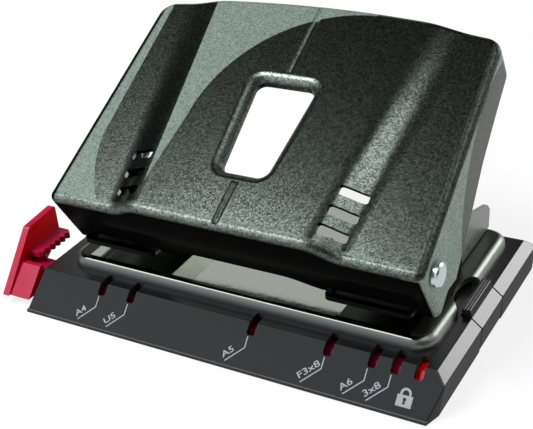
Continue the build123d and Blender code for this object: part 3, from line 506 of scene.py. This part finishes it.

# Lever
# One stamping of steel sheet with two ramps up to a raised middle, a flanged window, grooves and
# slots. It is sprayed gunmetal with paler silver sweeps, then lacquered; its skirt and rolled left
# edge are painted black as painted shade.
panel_front_y = -22.55
panel_front_z = 31.3
panel_angle = 29.6
flake_size = 0.34 * mm
sweep_centre = (15.3, 27.2)
sweep_radii = (36.6, 37.3)
sweep_lean = 0.095
ramp_line_x = -22.3
ramp_line_lean = 0.125
crescent_x = -43.9
crescent_start = 22.0
crescent_bow = 0.0175
lobe_centre = (46.2, 36.2)
lobe_radius = 35.1
flange_x = 45.0
flange_drop = 0.9
flange_full_drop = 1.4
panel_half = 50.0
panel_taper = 2.4 / 63.0
shaded_edge_width = 1.9
roll_along = 0.9
roll_along_fade = 0.4
roll_reach = 2.0
edge_fade = 0.3
rim_half = 12.0
skirt_front = 0.6
edge_blur = 0.12
silver_calm = 0.45
silver_metal = 0.3
rolled_roughness = 0.42
silver_roughness = 0.6
black_roughness = 0.3

# Metallic basecoat: aluminium flakes, drawn coarser than real ones so that they show, each
# catching the light a little differently under a clear lacquer.
flake_paint, tree = start_material("gunmetal_flake_paint")
place = add_node(tree, "ShaderNodeTexCoord")
local = add_node(tree, "ShaderNodeMapping", {
    "Vector": place.outputs["Object"],
    "Location": (0, panel_front_y * mm, panel_front_z * mm),
    "Rotation": (math.radians(panel_angle), 0, 0),
    "Scale": (mm, mm, mm),
}, vector_type="TEXTURE")
on_panel = add_node(tree, "ShaderNodeSeparateXYZ", {0: local.outputs[0]})
across, along, height = on_panel.outputs
# Silver sweep: outside an ellipse, inside the line where the left ramp starts
raised = add_node(tree, "ShaderNodeMath", {0: along, 1: sweep_centre[1]}, operation="MAXIMUM")
ahead = add_node(tree, "ShaderNodeMath", {0: raised.outputs[0], 1: along}, operation="SUBTRACT")
narrowed = add_node(tree, "ShaderNodeMath", {
    0: ahead.outputs[0], 1: sweep_lean, 2: across,
}, operation="MULTIPLY_ADD")
sweep_place = add_node(tree, "ShaderNodeCombineXYZ", {0: narrowed.outputs[0], 1: raised.outputs[0]})
sweep_scaled = add_node(tree, "ShaderNodeMapping", {
    "Vector": sweep_place.outputs[0],
    "Location": (sweep_centre[0], sweep_centre[1], 0),
    "Scale": (sweep_radii[0], sweep_radii[1], 1),
}, vector_type="TEXTURE")
sweep_reach = add_node(tree, "ShaderNodeVectorMath", {0: sweep_scaled.outputs[0]}, operation="LENGTH")
outside_sweep = add_node(tree, "ShaderNodeMapRange", {
    "Value": sweep_reach.outputs["Value"],
    "From Min": 1 - edge_blur / sweep_radii[0],
    "From Max": 1 + edge_blur / sweep_radii[0],
})
leaned = add_node(tree, "ShaderNodeMath", {0: along, 1: ramp_line_lean, 2: across}, operation="MULTIPLY_ADD")
inside_ramp = add_node(tree, "ShaderNodeMapRange", {
    "Value": leaned.outputs[0], "From Min": ramp_line_x - edge_blur, "From Max": ramp_line_x + edge_blur,
})
left_half = add_node(tree, "ShaderNodeMath", {0: across, 1: sweep_centre[0]}, operation="LESS_THAN")
sweep = add_node(tree, "ShaderNodeMath", {
    0: outside_sweep.outputs[0], 1: inside_ramp.outputs[0],
}, operation="MULTIPLY")
sweep = add_node(tree, "ShaderNodeMath", {0: sweep.outputs[0], 1: left_half.outputs[0]}, operation="MULTIPLY")
# Silver crescent along the left edge, wider towards the front
ahead = add_node(tree, "ShaderNodeMath", {0: crescent_start, 1: along}, operation="SUBTRACT")
ahead = add_node(tree, "ShaderNodeMath", {0: ahead.outputs[0], 1: 0.0}, operation="MAXIMUM")
bow = add_node(tree, "ShaderNodeMath", {0: ahead.outputs[0], 1: 2.0}, operation="POWER")
bow = add_node(tree, "ShaderNodeMath", {
    0: bow.outputs[0], 1: -crescent_bow, 2: across,
}, operation="MULTIPLY_ADD")
crescent = add_node(tree, "ShaderNodeMapRange", {
    "Value": bow.outputs[0],
    "From Min": crescent_x - edge_blur, "From Max": crescent_x + edge_blur, "To Min": 1.0, "To Max": 0.0,
})
# Silver lobe on the front of each flange
drop = add_node(tree, "ShaderNodeMath", {0: height, 1: -1.0}, operation="MULTIPLY")
lobe_place = add_node(tree, "ShaderNodeCombineXYZ", {0: along, 1: drop.outputs[0]})
lobe_far = add_node(tree, "ShaderNodeVectorMath", {
    0: lobe_place.outputs[0], 1: (lobe_centre[0], lobe_centre[1], 0),
}, operation="DISTANCE")
lobe = add_node(tree, "ShaderNodeMapRange", {
    "Value": lobe_far.outputs["Value"],
    "From Min": lobe_radius - edge_blur, "From Max": lobe_radius + edge_blur,
})
off_centre = add_node(tree, "ShaderNodeMath", {0: across}, operation="ABSOLUTE")
on_flange = add_node(tree, "ShaderNodeMapRange", {
    "Value": drop.outputs[0], "From Min": flange_drop, "From Max": flange_full_drop,
})
far_out = add_node(tree, "ShaderNodeMath", {0: off_centre.outputs[0], 1: flange_x}, operation="GREATER_THAN")
lobe = add_node(tree, "ShaderNodeMath", {0: lobe.outputs[0], 1: on_flange.outputs[0]}, operation="MULTIPLY")
lobe = add_node(tree, "ShaderNodeMath", {0: lobe.outputs[0], 1: far_out.outputs[0]}, operation="MULTIPLY")
above = add_node(tree, "ShaderNodeMath", {0: 1.0, 1: on_flange.outputs[0]}, operation="SUBTRACT")
top_silver = add_node(tree, "ShaderNodeMath", {
    0: sweep.outputs[0], 1: crescent.outputs[0],
}, operation="MAXIMUM")
top_silver = add_node(tree, "ShaderNodeMath", {
    0: top_silver.outputs[0], 1: above.outputs[0],
}, operation="MULTIPLY")
# The silver stops where the front edge starts to roll
front_roll = add_node(tree, "ShaderNodeMapRange", {
    "Value": along,
    "From Min": roll_along - roll_along_fade, "From Max": roll_along + roll_along_fade,
    "To Min": 1.0, "To Max": 0.0,
})
behind_roll = add_node(tree, "ShaderNodeMath", {0: 1.0, 1: front_roll.outputs[0]}, operation="SUBTRACT")
top_silver = add_node(tree, "ShaderNodeMath", {
    0: top_silver.outputs[0], 1: behind_roll.outputs[0],
}, operation="MULTIPLY")
silver = add_node(tree, "ShaderNodeMath", {0: top_silver.outputs[0], 1: lobe.outputs[0]}, operation="MAXIMUM")
# Painted shade: the skirt is painted black for the dark it mirrors, from half way down the rolled front edge
lean = add_node(tree, "ShaderNodeSeparateXYZ", {0: place.outputs["Normal"]})
facing = add_node(tree, "ShaderNodeVectorMath", {
    0: place.outputs["Normal"],
    1: (0, -math.sin(math.radians(panel_angle)), math.cos(math.radians(panel_angle))),
}, operation="DOT_PRODUCT")
below = add_node(tree, "ShaderNodeMapRange", {
    "Value": facing.outputs["Value"], "From Min": 0.05, "From Max": 0.55, "To Min": 1.0, "To Max": 0.0,
})
in_front = add_node(tree, "ShaderNodeMapRange", {
    "Value": along,
    "From Min": skirt_front - edge_fade, "From Max": skirt_front, "To Min": 1.0, "To Max": 0.0,
})
painted_black_shade = add_node(tree, "ShaderNodeMath", {0: below.outputs[0], 1: in_front.outputs[0]}, operation="MULTIPLY")
sideways = add_node(tree, "ShaderNodeMath", {0: lean.outputs["X"]}, operation="ABSOLUTE")
forward = add_node(tree, "ShaderNodeMapRange", {
    "Value": sideways.outputs[0], "From Min": 0.35, "From Max": 0.6, "To Min": 1.0, "To Max": 0.0,
})
painted_black_shade = add_node(tree, "ShaderNodeMath", {0: painted_black_shade.outputs[0], 1: forward.outputs[0]}, operation="MULTIPLY")
# Painted shade: the rolled left edge is painted black as well, up to where it turns into the flat
half = add_node(tree, "ShaderNodeMath", {0: along, 1: -panel_taper, 2: panel_half}, operation="MULTIPLY_ADD")
from_left = add_node(tree, "ShaderNodeMath", {0: half.outputs[0], 1: across}, operation="ADD")
leftmost = add_node(tree, "ShaderNodeMapRange", {
    "Value": from_left.outputs[0],
    "From Min": shaded_edge_width - edge_fade, "From Max": shaded_edge_width + edge_fade, "To Min": 1.0, "To Max": 0.0,
})
painted_shade_edge = add_node(tree, "ShaderNodeMath", {0: leftmost.outputs[0], 1: above.outputs[0]}, operation="MULTIPLY")
painted_black_shade = add_node(tree, "ShaderNodeMath", {0: painted_black_shade.outputs[0], 1: painted_shade_edge.outputs[0]}, operation="MAXIMUM")
# Flakes: each cell has a tone, a gloss and a tilt of its own
flakes = add_node(tree, "ShaderNodeTexVoronoi", {
    "Vector": place.outputs["Object"], "Scale": 1 / flake_size,
})
flake_tone = add_node(tree, "ShaderNodeSeparateXYZ", {0: flakes.outputs["Color"]})
sparkle = add_node(tree, "ShaderNodeMapRange", {
    "Value": flake_tone.outputs["X"], "To Min": 0.4, "To Max": 1.6,
})
# Painted light: on the flanges the gunmetal is painted darker and the silver paler, and the gunmetal on the
# side rolls darker, for how the light falls on those sides
flange = add_node(tree, "ShaderNodeMath", {
    0: on_flange.outputs[0], 1: far_out.outputs[0],
}, operation="MULTIPLY")
from_edge = add_node(tree, "ShaderNodeMath", {
    0: half.outputs[0], 1: off_centre.outputs[0],
}, operation="SUBTRACT")
side_roll = add_node(tree, "ShaderNodeMapRange", {
    "Value": from_edge.outputs[0],
    "From Min": roll_reach - edge_fade, "From Max": roll_reach + edge_fade, "To Min": 1.0, "To Max": 0.0,
})
gunmetal = add_node(tree, "ShaderNodeMix", {
    0: side_roll.outputs[0], 6: linear("#535b55"), 7: linear("#3a403c"),
}, data_type="RGBA")
gunmetal = add_node(tree, "ShaderNodeMix", {
    0: flange.outputs[0], 6: gunmetal.outputs[2], 7: linear("#424944"),
}, data_type="RGBA")
pale = add_node(tree, "ShaderNodeMix", {
    0: flange.outputs[0], 6: linear("#75827c"), 7: linear("#8d9a93"),
}, data_type="RGBA")
paint = add_node(tree, "ShaderNodeMix", {
    0: silver.outputs[0], 6: gunmetal.outputs[2], 7: pale.outputs[2],
}, data_type="RGBA")
calm = add_node(tree, "ShaderNodeMath", {0: silver.outputs[0], 1: silver_calm}, operation="MULTIPLY")
sparkle = add_node(tree, "ShaderNodeMix", {0: calm.outputs[0], 2: sparkle.outputs[0], 3: 1.0})
sparkled = add_node(tree, "ShaderNodeVectorMath", {
    0: paint.outputs[2], "Scale": sparkle.outputs[0],
}, operation="SCALE")
colour = add_node(tree, "ShaderNodeMix", {
    0: painted_black_shade.outputs[0], 6: sparkled.outputs[0], 7: linear("#070707"),
}, data_type="RGBA")
metal = add_node(tree, "ShaderNodeMix", {0: silver.outputs[0], 2: 1.0, 3: silver_metal})
metal = add_node(tree, "ShaderNodeMix", {0: painted_black_shade.outputs[0], 2: metal.outputs[0], 3: 0.0})
sheen = add_node(tree, "ShaderNodeMapRange", {
    "Value": flake_tone.outputs["Y"], "To Min": 0.22, "To Max": 0.26,
})
# The paint runs thin on the rolled edges and round the window, and dries duller there
rim = add_node(tree, "ShaderNodeMapRange", {
    "Value": facing.outputs["Value"], "From Min": 0.9, "From Max": 0.985, "To Min": 1.0, "To Max": 0.0,
})
near_window = add_node(tree, "ShaderNodeMath", {0: off_centre.outputs[0], 1: rim_half}, operation="LESS_THAN")
rim = add_node(tree, "ShaderNodeMath", {0: rim.outputs[0], 1: near_window.outputs[0]}, operation="MULTIPLY")
dull = add_node(tree, "ShaderNodeMath", {
    0: front_roll.outputs[0], 1: side_roll.outputs[0],
}, operation="MAXIMUM")
dull = add_node(tree, "ShaderNodeMath", {0: dull.outputs[0], 1: rim.outputs[0]}, operation="MAXIMUM")
sheen = add_node(tree, "ShaderNodeMix", {0: dull.outputs[0], 2: sheen.outputs[0], 3: rolled_roughness})
gloss = add_node(tree, "ShaderNodeMix", {0: silver.outputs[0], 2: sheen.outputs[0], 3: silver_roughness})
gloss = add_node(tree, "ShaderNodeMix", {0: painted_black_shade.outputs[0], 2: gloss.outputs[0], 3: black_roughness})
bump = add_node(tree, "ShaderNodeBump", {
    "Height": flake_tone.outputs["Z"], "Strength": 0.04, "Distance": 0.02 * mm,
})
shader = add_node(tree, "ShaderNodeBsdfPrincipled", {
    "Base Color": colour.outputs[2],
    "Metallic": metal.outputs[0],
    "Roughness": gloss.outputs[0],
    "Normal": bump.outputs[0],
    "Specular IOR Level": 0.003,
    "Coat Weight": 0.01,
    "Coat Roughness": 0.12,
})
add_node(tree, "ShaderNodeOutputMaterial", {"Surface": shader.outputs[0]})
dress(flake_paint, "lever")

# Lower edge of the lever's skirt
# The skirt is arched: it hangs lower beside the punch frames than between them, with a notch
# over each frame, and turns round the front corners into the flanges.
sheet = 1.06
apron_top = 12.97
arch_drop = 14.2
shoulder_start = 12.0
shoulder_end = 23.1
shoulder_drop = 16.6
notch_drop = 14.75
notch_end = 45.4
corner_drop = 17.7
corner_x = 48.14
corner_along = 0.32
corner_radius = 1.9
corner_blend = 0.1
flange_end = (49.77, 5.6)
apron_inset = 0.02
step_width = 0.05
shoulder_steps = 30
corner_steps = 8


def apron_drop(x, along_panel):
    if x > notch_end or along_panel > corner_along - corner_radius + corner_blend:
        return corner_drop
    if x > shoulder_end:
        return notch_drop
    rise = min(max((x - shoulder_start) / (shoulder_end - shoulder_start), 0), 1)
    return arch_drop + (shoulder_drop - arch_drop) * rise * rise * (3 - 2 * rise)


straight = [n * shoulder_end / shoulder_steps for n in range(shoulder_steps + 1)]
straight += [shoulder_end + step_width, notch_end, notch_end + step_width, corner_x]
turned = [math.radians(-90 + 90 * n / corner_steps) for n in range(corner_steps + 1)]


def apron_path(radius):
    front = corner_along - radius
    path = [(x, front) for x in straight]
    path += [(corner_x + radius * math.cos(a), corner_along + radius * math.sin(a)) for a in turned[1:]]
    return path + [(flange_end[0] + radius - corner_radius, flange_end[1])]


outer_path = apron_path(corner_radius - apron_inset)
inner_path = apron_path(corner_radius - apron_inset - sheet)
drops = [apron_drop(x, a) for x, a in outer_path]
panel_frame = Matrix.Translation((0, panel_front_y * mm, panel_front_z * mm)) @ Matrix.Rotation(
    math.radians(panel_angle), 4, "X"
) @ Matrix.Scale(mm, 4)
apron_points, apron_faces = [], []
for side in (-1, 1):
    first = len(apron_points)
    for (outer, inner), low in zip(zip(outer_path, inner_path), drops):
        for (x, a), depth in ((outer, apron_top), (outer, low), (inner, low), (inner, apron_top)):
            apron_points.append(panel_frame @ Vector((side * x, a, -depth)))
    for n in range(len(drops) - 1):
        here, there = first + 4 * n, first + 4 * n + 4
        for i in range(4):
            j = (i + 1) % 4
            ring = [here + i, there + i, there + j, here + j]
            apron_faces.append(ring if side > 0 else ring[::-1])
    tip = [first + 4 * (len(drops) - 1) + i for i in range(4)]
    apron_faces.append(tip[::-1] if side > 0 else tip)
apron_mesh = bpy.data.meshes.new("skirt_edge")
apron_mesh.from_pydata(apron_points, [], apron_faces)
apron_mesh.materials.append(flake_paint)
skirt_edge = bpy.data.objects.new("skirt_edge", apron_mesh)
bpy.context.scene.collection.objects.link(skirt_edge)
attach(skirt_edge, "lever")

# Paper guide
# Moulded in one piece from glossy red ABS: a bar that slides in the base, a finger ledge and
# an upright fin that the edge of the paper stands against.
flow_size = 9 * mm
pointer_x = 46.8 * mm
red_abs, tree = start_material("moulded_red_abs")
place = add_node(tree, "ShaderNodeTexCoord")
flow = add_node(tree, "ShaderNodeTexNoise", {
    "Vector": place.outputs["Object"], "Scale": 1 / flow_size, "Detail": 3.0,
})
outer = add_node(tree, "ShaderNodeMix", {
    0: flow.outputs["Fac"], 6: linear("#a00733"), 7: linear("#b40d40"),
}, data_type="RGBA")
inner = add_node(tree, "ShaderNodeMix", {
    0: flow.outputs["Fac"], 6: linear("#c60009"), 7: linear("#dc040f"),
}, data_type="RGBA")
# Painted light: faces turned to +x and the pointer at the bar's right end are painted a brighter clear red,
# as if lit, and all other faces a pinker red as a painted sheen
spot = add_node(tree, "ShaderNodeSeparateXYZ", {0: place.outputs["Object"]})
pointer = add_node(tree, "ShaderNodeMath", {0: spot.outputs["X"], 1: pointer_x}, operation="GREATER_THAN")
lean = add_node(tree, "ShaderNodeSeparateXYZ", {0: place.outputs["Normal"]})
lit_faces = add_node(tree, "ShaderNodeMapRange", {
    "Value": lean.outputs["X"], "From Min": 0.4, "From Max": 0.8,
})
clear = add_node(tree, "ShaderNodeMath", {0: lit_faces.outputs[0], 1: pointer.outputs[0]}, operation="MAXIMUM")
tone = add_node(tree, "ShaderNodeMix", {
    0: clear.outputs[0], 6: outer.outputs[2], 7: inner.outputs[2],
}, data_type="RGBA")
sheen = add_node(tree, "ShaderNodeMapRange", {"Value": flow.outputs["Fac"], "To Min": 0.26, "To Max": 0.4})
shader = add_node(tree, "ShaderNodeBsdfPrincipled", {
    "Base Color": tone.outputs[2], "Roughness": sheen.outputs[0], "IOR": 1.54, "Specular IOR Level": 0.35,
})
add_node(tree, "ShaderNodeOutputMaterial", {"Surface": shader.outputs[0]})
dress(red_abs, "paper_guide")

# Floor and world
# A pale studio floor, white to the camera and in reflections, with the punch's soft shadow kept.
# It turns up far away, and the room above is dim, so that the shiny pieces show the soft boxes.
floor_reach = 5.0
upturn_height = 0.65
floor_glow = 0.8
room_light = 0.02
floor_corners = ((-1, -1), (1, -1), (1, 1), (-1, 1))
floor_mesh = bpy.data.meshes.new("studio_floor")
floor_mesh.from_pydata(
    [(x * floor_reach, y * floor_reach, z) for z in (0, upturn_height) for x, y in floor_corners],
    [],
    [(0, 1, 2, 3)] + [(n, n + 4, (n + 1) % 4 + 4, (n + 1) % 4) for n in range(4)],
)
studio_floor = bpy.data.objects.new("studio_floor", floor_mesh)
bpy.context.scene.collection.objects.link(studio_floor)
floor_paint, tree = start_material("white_studio_floor")
path = add_node(tree, "ShaderNodeLightPath")
matt = add_node(tree, "ShaderNodeBsdfDiffuse", {"Color": linear("#f2f2f2")})
white = add_node(tree, "ShaderNodeEmission", {"Color": (1, 1, 1, 1), "Strength": 1.0})
mirrored = add_node(tree, "ShaderNodeMath", {
    0: path.outputs["Is Glossy Ray"], 1: path.outputs["Is Transmission Ray"],
}, operation="MAXIMUM")
seen = add_node(tree, "ShaderNodeMath", {
    0: path.outputs["Is Camera Ray"], 1: mirrored.outputs[0],
}, operation="MAXIMUM")
share = add_node(tree, "ShaderNodeMath", {0: seen.outputs[0], 1: floor_glow}, operation="MULTIPLY")
mixed = add_node(tree, "ShaderNodeMixShader", {0: share.outputs[0], 1: matt.outputs[0], 2: white.outputs[0]})
add_node(tree, "ShaderNodeOutputMaterial", {"Surface": mixed.outputs[0]})
floor_mesh.materials.append(floor_paint)

world = bpy.data.worlds.new("studio")
bpy.context.scene.world = world
world.use_nodes = True
tree = world.node_tree
tree.nodes.clear()
dim = add_node(tree, "ShaderNodeBackground", {"Color": (1, 1, 1, 1), "Strength": room_light})
add_node(tree, "ShaderNodeOutputWorld", {"Surface": dim.outputs[0]})

# Lamps
# Soft boxes round the punch: one at the front left that fades up the lever, one overhead on the
# right for the ramp, cards on the right for the lever's edge and the rail, and a card behind.
aim = Vector((0, 0, 0.03))
lamps = {
    "front_left_box": ((-0.46, -0.36, 0.81), 0.75, 0.36, 5.4),
    "front_card": ((-0.5, -0.8, 0.33), 0.8, 0.36, 2.0),
    "right_ramp_box": ((0.34, 0.06, 0.94), 0.75, 0.36, 1.55),
    "right_card": ((0.82, 0.2, 0.53), 0.8, 0.35, 0.3),
    "rear_right_box": ((0.52, 0.77, 0.36), 0.8, 0.3, 2.4),
    "rear_card": ((-0.46, 0.74, 0.49), 0.8, 0.4, 0.36),
}
for lamp_name, (way, distance, size, power) in lamps.items():
    lamp = bpy.data.lights.new(lamp_name, "AREA")
    lamp.size = size
    lamp.energy = power
    box = bpy.data.objects.new(lamp_name, lamp)
    box.location = Vector(way).normalized() * distance + aim
    box.rotation_euler = (-Vector(way)).to_track_quat("-Z", "Y").to_euler()
    bpy.context.scene.collection.objects.link(box)

# Camera
# Looks down on the punch from its front right, slightly rolled, as the photograph does.
image_width = 533
focal_pixels = 1114.23
camera_azimuth = math.radians(32.22)
camera_elevation = math.radians(29.43)
camera_roll = math.radians(-5.47)
camera_place = (0.12655, -0.20286, 0.15813)
camera_data = bpy.data.cameras.new("camera")
camera_data.sensor_fit = "HORIZONTAL"
camera_data.sensor_width = 36
camera_data.lens = focal_pixels * camera_data.sensor_width / image_width
camera_data.clip_start = 0.01
camera = bpy.data.objects.new("camera", camera_data)
turn = (
    Matrix.Rotation(camera_azimuth, 4, "Z")
    @ Matrix.Rotation(math.pi / 2 - camera_elevation, 4, "X")
    @ Matrix.Rotation(camera_roll, 4, "Z")
)
camera.matrix_world = Matrix.Translation(camera_place) @ turn
bpy.context.scene.collection.objects.link(camera)
bpy.context.scene.camera = camera
bpy.context.scene.view_settings.view_transform = "Standard"
